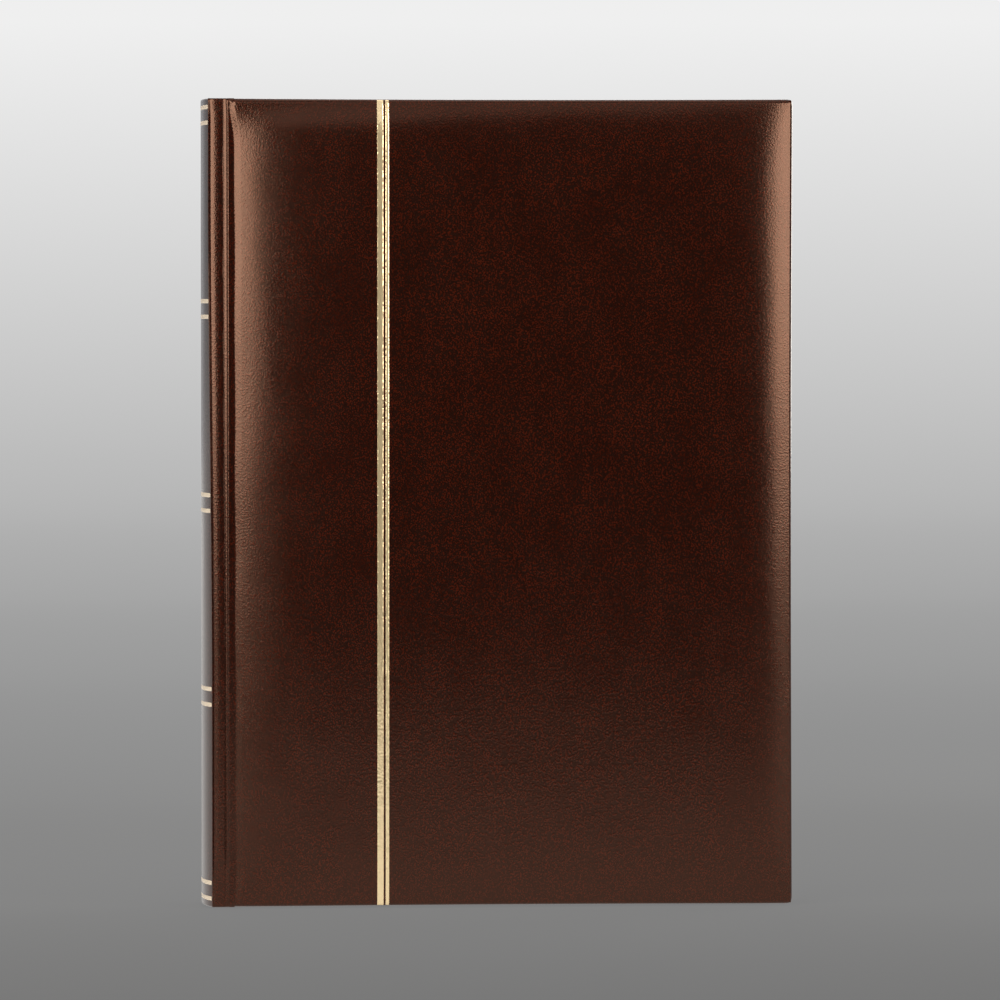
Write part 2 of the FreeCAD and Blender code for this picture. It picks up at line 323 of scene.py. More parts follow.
def guard_card():
    material, tree, shader = new_finish("guard_card")
    place = in_millimetres(tree, (1.0, 1.0, 3.0))
    fibre = cloudy(tree, place, 1.6, 5.0, 0.7)
    mottle = spread(tree, fibre, 0.3, 0.7)
    tone = colour_between(tree, mottle, (0.012, 0.012, 0.012, 1), (0.032, 0.031, 0.030, 1))
    tree.links.new(tone, shader.inputs["Base Color"])
    shader.inputs["Roughness"].default_value = 0.85
    emboss(tree, shader, fibre, 0.7, 0.1)
    return material


def book_linen():
    material, tree, shader = new_finish("book_linen")
    threads = weave(tree, LINEN_THREAD)
    place = in_millimetres(tree)
    slub = cloudy(tree, place, 0.6, 4.0)
    high = sums(tree, "MULTIPLY", threads, spread(tree, slub, 0.25, 0.75, 0.6, 1.0))
    tone = colour_between(tree, high, (0.006, 0.006, 0.007, 1), (0.034, 0.033, 0.033, 1))
    tree.links.new(tone, shader.inputs["Base Color"])
    tree.links.new(spread(tree, slub, 0.3, 0.7, 0.7, 0.9), shader.inputs["Roughness"])
    emboss(tree, shader, high, 0.8, 0.08)
    shader.inputs["Sheen Weight"].default_value = 0.08
    return material


def mull():
    material, tree, shader = new_finish("mull_lining")
    threads = weave(tree, MULL_THREAD)
    place = in_millimetres(tree)
    stain = cloudy(tree, place, 0.08, 5.0)
    thread = colour_between(tree, stain, (0.50, 0.45, 0.36, 1), (0.62, 0.58, 0.49, 1))
    tone = colour_between(tree, spread(tree, threads, 0.35, 0.65), (0.34, 0.27, 0.19, 1), thread)
    tree.links.new(tone, shader.inputs["Base Color"])
    shader.inputs["Roughness"].default_value = 0.88
    emboss(tree, shader, threads, 0.8, 0.15)
    return material


linen_finish = book_linen()
finish_node("guard_strips", guard_card())
finish_node("linen_stubs", linen_finish)
finish_node("spine_lining", mull())


# Boards: grey board made of pressed waste paper, one in each cover. The leatherette is glued round
# them and hides them but for the edge beside the joint.


def greyboard():
    material, tree, shader = new_finish("greyboard")
    place = in_millimetres(tree)
    pulp = cloudy(tree, place, 1.3, 6.0, 0.75)
    fleck = add(tree, "ShaderNodeTexVoronoi", {"Vector": place, "Scale": 0.7}).outputs[0]
    mottle = spread(tree, pulp, 0.3, 0.7)
    base = colour_between(tree, mottle, (0.19, 0.18, 0.165, 1), (0.31, 0.30, 0.275, 1))
    flecks = spread(tree, fleck, 0.05, 0.14, 0.55, 0.0)
    tone = colour_between(tree, flecks, base, (0.09, 0.085, 0.09, 1))
    tree.links.new(tone, shader.inputs["Base Color"])
    shader.inputs["Roughness"].default_value = 0.92
    emboss(tree, shader, pulp, 0.6, 0.15)
    return material


board_finish = greyboard()
for node in ("front_board", "back_board"):
    finish_node(node, board_finish)


# Spine: brown leatherette, a pebbled plastic skin on paper with a lacquered sheen, drawn round a bowed
# board and turned in at head and tail. Its sides run to the first crease of each joint.

HEAD_Z = 310.0
CREST_X = -113.3
SPINE_HALF = 19.7
SEAM_Y = 19.55
BOW_POWER = 2.6
SPINE_LIP_X = -109.95
SPINE_SKIN = 0.7
SPINE_BOARD_X = -110.6
SPINE_BOARD_HALF = 18.6
SPINE_EDGE_RADIUS = 0.7
SPINE_LIP_INSET = 1.2
SPINE_SIDE_DEPTH = 0.5
SPINE_END_TUCK = 0.3
STIFFENER_SHORT = 0.8
STIFFENER_LEAST = 0.3
STIFFENER_LIP_GAP = 0.1
ROUND_STEPS = 6
TAIL_CREASE_X = -110.35
CREASE_LEAN = 1.45  # how much nearer to the back of the spine the first crease runs at the head
LEAN_START = 0.25
LEAN_RUN = 0.65
SEAM_FROM_CREASE = 0.35
PEBBLE_SIZE = (0.62, 0.62, 0.74)
PORE_SIZE = (0.5, 0.5, 0.6)
CLOUD_SIZE = (17.0, 17.0, 24.0)
BLOTCH_SIZE = (4.2, 4.2, 5.6)
DARK_DYE = (0.0330, 0.0040, 0.0012, 1)
RED_DYE = (0.0455, 0.0054, 0.0015, 1)
# The tone of the grain's pits is partly darker dye and partly painted shade in the hollows of the grain.
PIT_DYE_AND_SHADE = (0.0085, 0.0012, 0.0005, 1)


def pebbles(tree, place, smoothness):
    """The height of rounded pebbles at places."""
    sockets = {"Vector": place, "Scale": 1.0, "Smoothness": smoothness}
    cells = add(tree, "ShaderNodeTexVoronoi", sockets, feature="SMOOTH_F1")
    return spread(tree, cells.outputs[0], 0.05, 0.75, 1.0, 0.0)


def leatherette():
    material, tree, shader = new_finish("brown_leatherette")
    noise_sockets = {"Vector": in_millimetres(tree), "Scale": 0.35, "Detail": 1.0}
    drift = add(tree, "ShaderNodeTexNoise", noise_sockets).outputs["Color"]
    pebble_place = in_millimetres(tree, PEBBLE_SIZE)
    shifted = add(tree, "ShaderNodeVectorMath", {0: pebble_place, 1: drift}, operation="ADD").outputs[0]
    pebble = pebbles(tree, shifted, 0.55)
    pores = cloudy(tree, in_millimetres(tree, PORE_SIZE), 1.0, 3.0)
    grain = sums(tree, "ADD", sums(tree, "MULTIPLY", pebble, 0.6), sums(tree, "MULTIPLY", pores, 0.9))
    cloud = cloudy(tree, in_millimetres(tree, CLOUD_SIZE), 1.0, 4.0, 0.62)
    blotch = cloudy(tree, in_millimetres(tree, BLOTCH_SIZE), 1.0, 3.0)
    dye = sums(tree, "ADD", sums(tree, "MULTIPLY", cloud, 0.62), sums(tree, "MULTIPLY", blotch, 0.38))
    red = colour_between(tree, spread(tree, dye, 0.36, 0.66), DARK_DYE, RED_DYE)
    # The pits of the grain are darker, partly from the dye and partly from painted shade in its hollows.
    tone = colour_between(tree, spread(tree, grain, 0.62, 0.92, 1.0, 0.0), red, PIT_DYE_AND_SHADE)
    tree.links.new(tone, shader.inputs["Base Color"])
    worn = spread(tree, cloud, 0.3, 0.7, 0.145, 0.165)
    rough_pits = spread(tree, grain, 0.35, 1.0, 0.05, 0.0)
    tree.links.new(sums(tree, "ADD", worn, rough_pits), shader.inputs["Roughness"])
    emboss(tree, shader, grain, 0.5, 0.05)
    shader.inputs["Specular IOR Level"].default_value = 0.714
    shader.inputs["Specular Tint"].default_value = (1.0, 0.55, 0.39, 1)
    return material


def round_steps(radius):
    """Steps of a quarter round from face to wall: how far in from the wall and how far below the face."""
    turn = np.linspace(0.0, math.pi / 2, ROUND_STEPS)
    return radius * (1 - np.sin(turn)), radius * (1 - np.cos(turn))


def crease_line(z):
    """Where the first crease of a joint runs at a height: nearer to the spine toward the head."""
    return TAIL_CREASE_X - CREASE_LEAN * soft_step((np.asarray(z) / HEAD_Z - LEAN_START) / LEAN_RUN)


def seam_line(z):
    """Where the leatherette of the spine meets that of the joint, just before the first crease."""
    return crease_line(z) - SEAM_FROM_CREASE


def spine_outline(z):
    """The outside of the spine at a height, from front seam to back seam, and which way is outward."""
    y = np.linspace(-SEAM_Y, SEAM_Y, 61)
    share = np.abs(y) / SEAM_Y
    bow = seam_line(z) - CREST_X
    slope = np.sign(y) * bow * BOW_POWER * share ** (BOW_POWER - 1) / SEAM_Y
    length = np.sqrt(1 + slope**2)
    places = np.stack([CREST_X + bow * share**BOW_POWER, y], axis=-1)
    return places, np.stack([-1 / length, slope / length], axis=-1)


def height_stations(first, last, step, fine=1.2, reach=24.0):
    """Heights from first to last, closer together within reach of both ends."""
    ends = np.arange(0.0, reach, fine)
    middle = np.linspace(first + reach, last - reach, max(2, int((last - first - 2 * reach) / step)))
    return np.concatenate([first + ends, middle, (last - ends)[::-1]])


def spine_swell(x, y, z):
    """The slight unevenness of the spine's leatherette."""
    return 0.05 * noise.noise((x * 0.05, y * 0.06, z * 0.025))


def spine_leather(finish):
    insets, drops = round_steps(SPINE_EDGE_RADIUS)
    body = height_stations(SPINE_EDGE_RADIUS, HEAD_Z - SPINE_EDGE_RADIUS, 6.0, 3.0, 12.0)
    heights = np.concatenate([insets[::-1], body[1:-1], HEAD_Z - insets])
    sinks = np.concatenate([drops[::-1], np.zeros(len(body) - 2), drops])
    rows = []
    for z, sink in zip(heights, sinks):
        places, outward = spine_outline(z)
        swell = np.array([spine_swell(x, y, z) for x, y in places])
        swell[:2] = swell[-2:] = 0.0
        spots = places + outward * (swell - sink)[:, None]
        rows.append(np.column_stack([spots, np.full(len(spots), z)]))
    outer = np.array(rows)
    inner = outer.copy()
    half = SPINE_HALF - SPINE_LIP_INSET
    inner[:, 1:-1, 0] = SPINE_LIP_X
    inner[:, :, 1] = np.clip(outer[:, :, 1], -half, half)
    for column, side in ((0, -1), (-1, 1)):
        inner[:, column, 1] = side * (SEAM_Y - SPINE_SIDE_DEPTH)
    inner[:, :, 2] = np.clip(outer[:, :, 2], SPINE_END_TUCK, HEAD_Z - SPINE_END_TUCK)
    return closed_sheet("spine_leather", outer, inner, finish)


def spine_stiffener(finish):
    """The board in the spine, bowed like the leatherette over it."""
    rows = []
    for z in np.linspace(STIFFENER_SHORT, HEAD_Z - STIFFENER_SHORT, 40):
        places, outward = spine_outline(z)
        keep = np.abs(places[:, 1]) <= SPINE_BOARD_HALF
        spots = places[keep] - SPINE_SKIN * outward[keep]
        rows.append(np.column_stack([spots, np.full(len(spots), z)]))
    outer = np.array(rows)
    inner = outer.copy()
    thinnest = outer[:, :, 0] + STIFFENER_LEAST
    inner[:, :, 0] = np.clip(thinnest, SPINE_BOARD_X, SPINE_LIP_X - STIFFENER_LIP_GAP)
    return closed_sheet("spine_board_bowed", outer, inner, finish)


stiffener = spine_stiffener(board_finish)
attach(stiffener, "spine")
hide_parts("spine_board")
leather_finish = leatherette()
spine = spine_leather(leather_finish)
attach(spine, "spine")
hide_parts("spine_skin")


# Spine lines: five pairs of gold foil lines, hot stamped across the spine. The foil takes on the grain
# of the leatherette and ends just short of the corners.

LINE_WIDTH = 1.6
LINE_HALF_LENGTH = 19.3
LINE_PAIR_PITCH = 6.0
FIRST_PAIR_Z = 6.3
PAIR_STEP = 74.35
LINE_PAIRS = 5
LINE_TAPER = 0.7
LINE_DEPTH = 0.08
FOIL_LIFT = 0.05
FOIL_PEBBLE_SIZE = (0.62, 0.62, 0.95)
BARE_TONE = (0.34, 0.17, 0.06, 1)


def gold_foil(name, gold, metal, grain_depth, roughness):
    """Foil with the leather grain under it, and specks where it did not take."""
    material, tree, shader = new_finish(name)
    place = in_millimetres(tree)
    crumple = cloudy(tree, place, 1.1, 3.0, 0.6)
    grain = sums(tree, "ADD", pebbles(tree, in_millimetres(tree, FOIL_PEBBLE_SIZE), 0.5), crumple)
    speck = cloudy(tree, place, 1.9, 4.0, 0.7)
    bare = spread(tree, speck, 0.66, 0.74)
    tree.links.new(colour_between(tree, bare, gold, BARE_TONE), shader.inputs["Base Color"])
    tree.links.new(spread(tree, bare, 0.0, 1.0, metal, 0.3), shader.inputs["Metallic"])
    dull = spread(tree, crumple, 0.3, 0.7, roughness, roughness + 0.08)
    tree.links.new(dull, shader.inputs["Roughness"])
    emboss(tree, shader, grain, 0.8, grain_depth)
    return material


def spine_line(name, z, finish):
    places, outward = spine_outline(z)
    keep = np.abs(places[:, 1]) <= LINE_HALF_LENGTH
    places, outward = places[keep], outward[keep]
    across = np.array([-0.5, -0.44, -0.2, 0.2, 0.44, 0.5]) * LINE_WIDTH
    lifts = np.array([0.0, FOIL_LIFT, FOIL_LIFT, FOIL_LIFT, FOIL_LIFT, 0.0])
    outer = np.zeros((len(places), len(across), 3))
    for row, ((x, y), (out_x, out_y)) in enumerate(zip(places, outward)):
        to_end = LINE_HALF_LENGTH - abs(y)
        narrow = math.sqrt(min(1.0, 0.25 + to_end / LINE_TAPER))
        swell = spine_swell(x, y, z)
        for column, (run, lift) in enumerate(zip(across, lifts)):
            up = lift + swell
            outer[row, column] = (x + out_x * up, y + out_y * up, z + run * narrow)
    inner = outer.copy()
    inner[:, :, 0] += LINE_DEPTH
    return closed_sheet(name, outer, inner, finish)


spine_foil = gold_foil("spine_gold_foil", (1.0, 0.82, 0.62, 1), 0.25, 0.04, 0.3)
for pair in range(LINE_PAIRS):
    for place, half in (("lower", -0.5), ("upper", 0.5)):
        line_z = FIRST_PAIR_Z + pair * PAIR_STEP + half * LINE_PAIR_PITCH
        line = spine_line(f"spine_line_{pair + 1}_{place}", line_z, spine_foil)
        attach(line, "spine")
        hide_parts("spine_foil_lines")


# Joints: between spine and cover the leatherette has no board under it. It is pressed into two creases
# with a low rib beside each, and it folds along both when the cover opens.

INNER_FACE = 15.6
SKIN_LEVEL = 4.1
CREASE_1_X = -110.7
CREASE_2_X = -105.9
STRIP_SEAM_X = -108.6
GROOVE_SEAM_X = -102.1
PAD_EDGE_X = -100.6
FORE_X = 113.3
JOINT_INSIDE = 3.42
EDGE_RADIUS = 1.6
JOINT_EDGE_RADIUS = 0.5
PAD_LOW = 0.35
PAD_RISE = 3.25
FALL_AT_JOINT = 18.0
FALL_AT_FORE_EDGE = 10.0
FALL_AT_ENDS = 8.0
END_DROP = 0.3
STRIPES = ((-47.45, -45.05), (-44.25, -42.95))
STRIPE_DEPTH = 0.12
STRIPE_EDGE = 0.08
STRIPE_EDGE_RUN = 0.32
STRIPE_END_RUN = 1.5
SECOND_RIB = 4.85
SECOND_RIB_LEAN = 0.6
RIB_AT_TAIL = 0.3
RIB_TAIL_RUN = 22.0
RIB_LOSS_AT_HEAD = 0.35
RIB_HEAD_RUN = (8.0, 7.0)  # where the loss starts below the head, and over what run
RIB_START_RUN = 0.25
SEAM_STEP_RUN = 0.3
PAD_LEAN = 0.6
PAD_SHIFT = 0.2
PAD_WAVER = 0.12
WALL_HALF_WIDTH = 1.3
HEAD_FLARE = (2.1, 3.0, 8.5)  # size, middle and width of a hump
TAIL_FLARE = (0.5, 4.0, 7.0)
HEAD_SLACK = (25.0, 0.0, 7.0)
PUCKER_UP = (0.13, 2.6, 2.2)
PUCKER_ALONG = (1.0, -103.6, 1.8)
LUMP_HEIGHT = 0.13
SMALL_LUMP_HEIGHT = 0.035
LUMP_FADE = 10.0
LUMP_FADE_AT_JOINT = 12.0
LEATHER_LEAST = 0.5
ROUND_LEAST = 0.06
END_TUCK = 0.05
# Across the ribs: how far from the first crease, and how far above the flat leatherette.
RIB_PROFILE = (
    (-1.6, 0.0), (-0.5, 0.0), (-0.3, -0.08), (0.0, -0.5), (0.25, -0.2), (0.5, 0.06),
    (0.9, 0.27), (1.5, 0.42), (2.3, 0.52), (3.1, 0.57), (3.8, 0.58), (4.2, 0.57),
    (4.24, 0.565), (4.32, 0.2), (4.42, -0.05), (4.6, -0.1), (4.8, 0.0), (5.15, 0.2),
    (5.4, 0.28), (5.55, 0.26), (5.75, 0.05), (6.0, -0.12), (6.5, -0.16), (12.0, -0.16),
)


def pad_rise(distance, reach):
    """A rise that starts steep at an edge and levels off over the reach."""
    return 1 - np.exp(-np.clip(distance, 0, None) / reach)


def curve_through(knots, values, at):
    """A smooth curve through values at knots."""
    knots, values = np.array(knots), np.array(values)
    slopes = np.gradient(values, knots)
    left = np.clip(np.searchsorted(knots, at) - 1, 0, len(knots) - 2)
    width = knots[left + 1] - knots[left]
    t = np.clip((at - knots[left]) / width, 0.0, 1.0)
    rise = (2 * t**3 - 3 * t**2 + 1) * values[left] + (3 * t**2 - 2 * t**3) * values[left + 1]
    return rise + ((t**3 - 2 * t**2 + t) * slopes[left] + (t**3 - t**2) * slopes[left + 1]) * width


def hump(at, shape):
    size, middle, width = shape
    return size * np.exp(-(((at - middle) / width) ** 2))


def face_level(x, z, side):
    """How far the outside of a joint and its cover stands out from the cover's inner face."""
    x, z = np.broadcast_arrays(np.asarray(x, float), np.asarray(z, float))
    at_head = HEAD_Z - z
    up = z / HEAD_Z
    second_rib = CREASE_2_X + SECOND_RIB_LEAN * (1 - up)
    from_crease = (x - crease_line(z)) * SECOND_RIB / (second_rib - crease_line(z))
    places, levels = zip(*RIB_PROFILE)
    from_seam = x - seam_line(z)
    rib = curve_through(places, levels, from_crease) * soft_step(from_seam / RIB_START_RUN)
    rib_drop = (SPINE_HALF - SEAM_Y) * (1 - soft_step(from_seam / SEAM_STEP_RUN))
    rib = rib * (RIB_AT_TAIL + (1 - RIB_AT_TAIL) * soft_step((z - 1.0) / RIB_TAIL_RUN))
    loss_start, loss_run = RIB_HEAD_RUN
    rib = rib * (1 - RIB_LOSS_AT_HEAD * soft_step((loss_start - at_head) / loss_run))
    flare = hump(at_head, HEAD_FLARE) + hump(z, TAIL_FLARE)
    waver = PAD_WAVER * np.sin(z * 0.11 + side)
    inside = x - (PAD_EDGE_X - flare + PAD_SHIFT - PAD_LEAN * up + waver)
    joint_reach = FALL_AT_JOINT + hump(at_head, HEAD_SLACK)
    crown = pad_rise(inside, joint_reach) * pad_rise(FORE_X - x, FALL_AT_FORE_EDGE)
    for from_end in (at_head, z):
        crown = crown * (1 - END_DROP * (1 - pad_rise(from_end, FALL_AT_ENDS)))
    pad = PAD_LOW + PAD_RISE * crown
    wall = soft_step((inside + WALL_HALF_WIDTH) / (2 * WALL_HALF_WIDTH))
    level = SKIN_LEVEL + rib * (1 - wall) + pad * wall - rib_drop
    pucker = hump(at_head, PUCKER_UP) * hump(x, PUCKER_ALONG)
    level = level + pucker * np.sin((x - 0.7 * at_head) * 4.2)
    if side < 0:
        ends = soft_step(at_head / STRIPE_END_RUN) * soft_step(z / STRIPE_END_RUN)
        for low, high in STRIPES:
            press = soft_step((x - low + STRIPE_EDGE) / STRIPE_EDGE_RUN)
            press = press * soft_step((high + STRIPE_EDGE - x) / STRIPE_EDGE_RUN)
            level = level - STRIPE_DEPTH * press * ends
    return level


def uneven(x, z, side):
    """The slight lumps of padding under the skin."""
    lumps = np.zeros(np.shape(x))
    for spot in np.ndindex(lumps.shape):
        broad = noise.noise((x[spot] * 0.022, side * 7.0, z[spot] * 0.017))
        small = noise.noise((x[spot] * 0.07 + 30.0, side * 3.0, z[spot] * 0.055))
        lumps[spot] = LUMP_HEIGHT * broad + SMALL_LUMP_HEIGHT * small
    inside = soft_step((x - PAD_EDGE_X - 2.0) / LUMP_FADE_AT_JOINT)
    inside = inside * soft_step((FORE_X - 3.0 - x) / LUMP_FADE)
    return lumps * inside * soft_step(z / LUMP_FADE) * soft_step((HEAD_Z - z) / LUMP_FADE)


def outward_y(side, level):
    return side * (INNER_FACE + level)


def joint_strip(name, xs, start_line, side, finish):
    """A strip of the joint's leatherette from a line that varies with height, rounded at head and tail."""
    body = height_stations(EDGE_RADIUS + 0.3, HEAD_Z - EDGE_RADIUS - 0.3, 5.0, 0.8, 22.0)
    to_spine = soft_step((CREASE_1_X - 0.4 - xs) / 0.5)
    to_cover = soft_step((xs + 106.0) / 3.9)
    radius = JOINT_EDGE_RADIUS + (SPINE_EDGE_RADIUS - JOINT_EDGE_RADIUS) * to_spine
    radius = radius + (EDGE_RADIUS - JOINT_EDGE_RADIUS) * to_cover
    steps_in, steps_down = round_steps(1.0)
    rows_z = [radius * i for i in steps_in[::-1]] + [np.full(len(xs), z) for z in body]
    rows_z += [HEAD_Z - radius * i for i in steps_in]
    drops = [radius * d for d in steps_down[::-1]] + [np.zeros(len(xs))] * len(body)
    drops += [radius * d for d in steps_down]
    z = np.array(rows_z)
    start = start_line(z)
    x = start + (xs - xs[0]) / (xs[-1] - xs[0]) * (xs[-1] - start)
    face = face_level(x, np.clip(z, radius, HEAD_Z - radius), side)
    inside = np.minimum(JOINT_INSIDE, face - LEATHER_LEAST)
    level = np.maximum(face - np.array(drops), inside + ROUND_LEAST)
    outer = np.stack([x, outward_y(side, level), z], axis=-1)
    inner = np.stack([x, outward_y(side, inside), np.clip(z, END_TUCK, HEAD_Z - END_TUCK)], axis=-1)
    return closed_sheet(name, outer, inner, finish)


def strip_seam(z):
    return np.full(np.shape(z), STRIP_SEAM_X)


def fine_stations(*runs):
    """Places along runs of (first, last, step), each run starting where the one before ends."""
    stations = []
    for first, last, step in runs:
        stations += list(np.linspace(first, last, max(2, round((last - first) / step) + 1)))[:-1]
    return np.array(stations + [runs[-1][1]])


spine_side_x = fine_stations((-112.15, -109.6, 0.07), (-109.6, STRIP_SEAM_X, 0.2))
cover_side_x = fine_stations(
    (STRIP_SEAM_X, -106.9, 0.2),
    (-106.9, -104.6, 0.08),
    (-104.6, GROOVE_SEAM_X, 0.2),
)
for name, side in (("front", -1), ("back", 1)):
    leather_name = f"{name}_joint_leather"
    spine_side = joint_strip(f"{leather_name}_spine_side", spine_side_x, seam_line, side, leather_finish)
    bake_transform(spine_side)
    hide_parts(f"{name}_joint_skin")
    cover_side = joint_strip(f"{leather_name}_cover_side", cover_side_x, strip_seam, side, leather_finish)
    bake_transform(cover_side)
    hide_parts(f"{name}_joint_skin")


# Covers: leatherette drawn tight over a board with foam padding on its outside, turned in over the
# inner face and mitred at the corners. The padding is full in the middle and falls to a low edge.

BOARD_X = -105.32
TURN_IN_WIDTH = 15.0
TURN_IN_LEVEL = 0.3
BOARD_INSIDE = 0.98
CORNER_RADIUS = 1.3
SIDE_DRAW = 0.4
DRAW_REACH = 8.0
TURN_ROUND = 1.0
EDGE_MIDDLE = 2.4
JOINT_LIP_LEVEL = 3.4
JOINT_LOW_LEVEL = 1.6


def draw_in(x, z):
    """Moves places near the cover's outline: sides pull in between corners, and corners are round."""
    mid_z = 1 - ((z - HEAD_Z / 2) / (HEAD_Z / 2)) ** 2
    mid_x = 1 - np.clip(x / FORE_X, -1, 1) ** 2
    from_fore = FORE_X - x
    r = CORNER_RADIUS
    a = np.clip(r - from_fore, 0, r)
    b = np.clip(r - np.minimum(z, HEAD_Z - z), 0, r)
    toward = np.where(z > HEAD_Z / 2, 1.0, -1.0)
    new_x = x + a * (np.sqrt(1 - b * b / (2 * r * r)) - 1)
    new_z = z + toward * b * (np.sqrt(1 - a * a / (2 * r * r)) - 1)
    new_x = new_x - SIDE_DRAW * mid_z * np.exp(-np.clip(from_fore, 0, None) / DRAW_REACH)
    new_z = new_z - SIDE_DRAW * mid_x * np.exp(-np.clip(HEAD_Z - z, 0, None) / DRAW_REACH)
    new_z = new_z + SIDE_DRAW * mid_x * np.exp(-np.clip(z, 0, None) / DRAW_REACH)
    return new_x, new_z


def padded_cover(name, side, finish):
    if side < 0:
        stripes = [(-60.0, -48.0, 2.6), (-48.0, -42.5, 0.16), (-42.5, -30.0, 2.6)]
    else:
        stripes = [(-60.0, -30.0, 3.0)]
    near_joint = [(GROOVE_SEAM_X, -99.0, 0.2), (-99.0, -94.0, 0.6), (-94.0, -60.0, 2.0)]
    near_fore = [(-30.0, 88.0, 4.0), (88.0, 106.0, 1.2), (106.0, FORE_X - EDGE_RADIUS, 0.5)]
    xs = fine_stations(*near_joint, *stripes, *near_fore)
    near_tail = [(EDGE_RADIUS, 16.0, 0.6), (16.0, 40.0, 2.0), (40.0, 270.0, 4.0)]
    zs = fine_stations(*near_tail, (270.0, 290.0, 1.6), (290.0, HEAD_Z - EDGE_RADIUS, 0.5))
    x, z = np.meshgrid(xs, zs)
    face = face_level(x, z, side) + uneven(x, z, side)
    rows, columns = x.shape
    face_x, face_z = draw_in(x, z)
    places = [np.stack([face_x, outward_y(side, face), face_z], axis=-1).reshape(-1, 3)]
    faces = grid_quads(rows, columns)
    border = round_the_grid(rows, columns)
    ring = border[:, 0] * columns + border[:, 1]
    edge_level = face.ravel()[ring]
    at_tail = border[:, 0] == 0
    at_head = border[:, 0] == rows - 1
    at_fore = border[:, 1] == columns - 1
    at_joint = border[:, 1] == 0
    sealed = at_joint & ~at_tail & ~at_head
    steps_in, steps_down = round_steps(EDGE_RADIUS)
    # Each ring: how far in from the outline, the level on the outer sides, place and level at the joint.
    rings = [(i, edge_level - d, GROOVE_SEAM_X, None) for i, d in zip(steps_in[1:], steps_down[1:])]
    rings.append((0.0, EDGE_MIDDLE, BOARD_X, JOINT_LIP_LEVEL))
    rings.append((0.0, TURN_IN_LEVEL + TURN_ROUND, BOARD_X, EDGE_MIDDLE))
    inner_in, inner_down = round_steps(TURN_ROUND)
    for i, d in zip(inner_in[::-1][1:], inner_down[::-1][1:]):
        rings.append((i, TURN_IN_LEVEL + d, BOARD_X, JOINT_LOW_LEVEL))
    rings.append((TURN_IN_WIDTH - 0.4, TURN_IN_LEVEL, BOARD_X, BOARD_INSIDE + 0.2))
    rings.append((TURN_IN_WIDTH, TURN_IN_LEVEL + 0.15, BOARD_X, BOARD_INSIDE + 0.1))
    rings.append((TURN_IN_WIDTH, BOARD_INSIDE, BOARD_X, BOARD_INSIDE))
    count = rows * columns
    first = ring
    for inset, level, joint_x, joint_level in rings:
        ring_x, ring_z = x.ravel()[ring].copy(), z.ravel()[ring].copy()
        ring_x[at_fore] = FORE_X - inset
        ring_z[at_tail] = inset
        ring_z[at_head] = HEAD_Z - inset
        if inset > EDGE_RADIUS:
            ring_x = np.minimum(ring_x, FORE_X - inset)
            ring_z = np.clip(ring_z, inset, HEAD_Z - inset)
        ring_x[at_joint] = joint_x
        ring_level = np.zeros(len(ring)) + level
        if joint_level is not None:
            ring_level[sealed] = joint_level
        ring_x, ring_z = draw_in(ring_x, ring_z)
        places.append(np.stack([ring_x, outward_y(side, ring_level), ring_z], axis=-1))
        second = count + np.arange(len(ring))
        faces += zip(first, np.roll(first, -1), np.roll(second, -1), second)
        count += len(ring)
        first = second
    faces.append(first)
    faces = [tuple(int(v) for v in face) for face in faces]
    return solid_piece(name, np.concatenate(places), faces, finish)


for name, side in (("front", -1), ("back", 1)):
    cover = padded_cover(f"{name}_cover_leather", side, leather_finish)
    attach(cover, f"{name}_cover")
    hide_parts(f"{name}_skin", f"{name}_padding")


# Gold stripes: a wide and a narrow stripe of gold foil down the front cover, hot stamped a little way
# into the padding from head to tail.

FOIL_RIM = 0.08
FOIL_DEPTH = 0.06
STRIPE_ROUND_STEPS = 4


def stripe(name, low, high, finish):
    steps_in, steps_down = (steps[1:STRIPE_ROUND_STEPS] for steps in round_steps(EDGE_RADIUS))
    near_tail = [(EDGE_RADIUS, 16.0, 0.6), (16.0, 40.0, 2.0), (40.0, 270.0, 4.0)]
    body = fine_stations(*near_tail, (270.0, HEAD_Z - EDGE_RADIUS, 0.6))
    heights = np.concatenate([steps_in[::-1], body, HEAD_Z - steps_in])
    drops = np.concatenate([steps_down[::-1], np.zeros(len(body)), steps_down])
    across = np.concatenate([[low], np.linspace(low + FOIL_RIM, high - FOIL_RIM, 14), [high]])
    x, z = np.meshgrid(across, heights)
    face_z = np.clip(z, EDGE_RADIUS, HEAD_Z - EDGE_RADIUS)
    level = face_level(x, face_z, -1) + uneven(x, face_z, -1) - drops[:, None]
    lift = np.full(len(across), FOIL_LIFT)
    lift[0] = lift[-1] = 0.0
    place_x, place_z = draw_in(x, z)
    outer = np.stack([place_x, outward_y(-1, level + lift), place_z], axis=-1)
    inner = np.stack([place_x, outward_y(-1, level - FOIL_DEPTH), place_z], axis=-1)
    return closed_sheet(name, outer, inner, finish)


stripe_foil = gold_foil("stripe_gold_foil", (1.0, 0.79, 0.48, 1), 0.70, 0.045, 0.07)
for name, (low, high) in zip(("wide_gold_stripe", "narrow_gold_stripe"), STRIPES):
    band = stripe(name, low, high, stripe_foil)
    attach(band, "front_cover")
    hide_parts("front_foil_band")


# Hinge linen: a strip of black book linen glued to the side of the leaf block, carried up inside the
# joint and down over the edge of the board, and glued to the board's inner face under the endpaper.

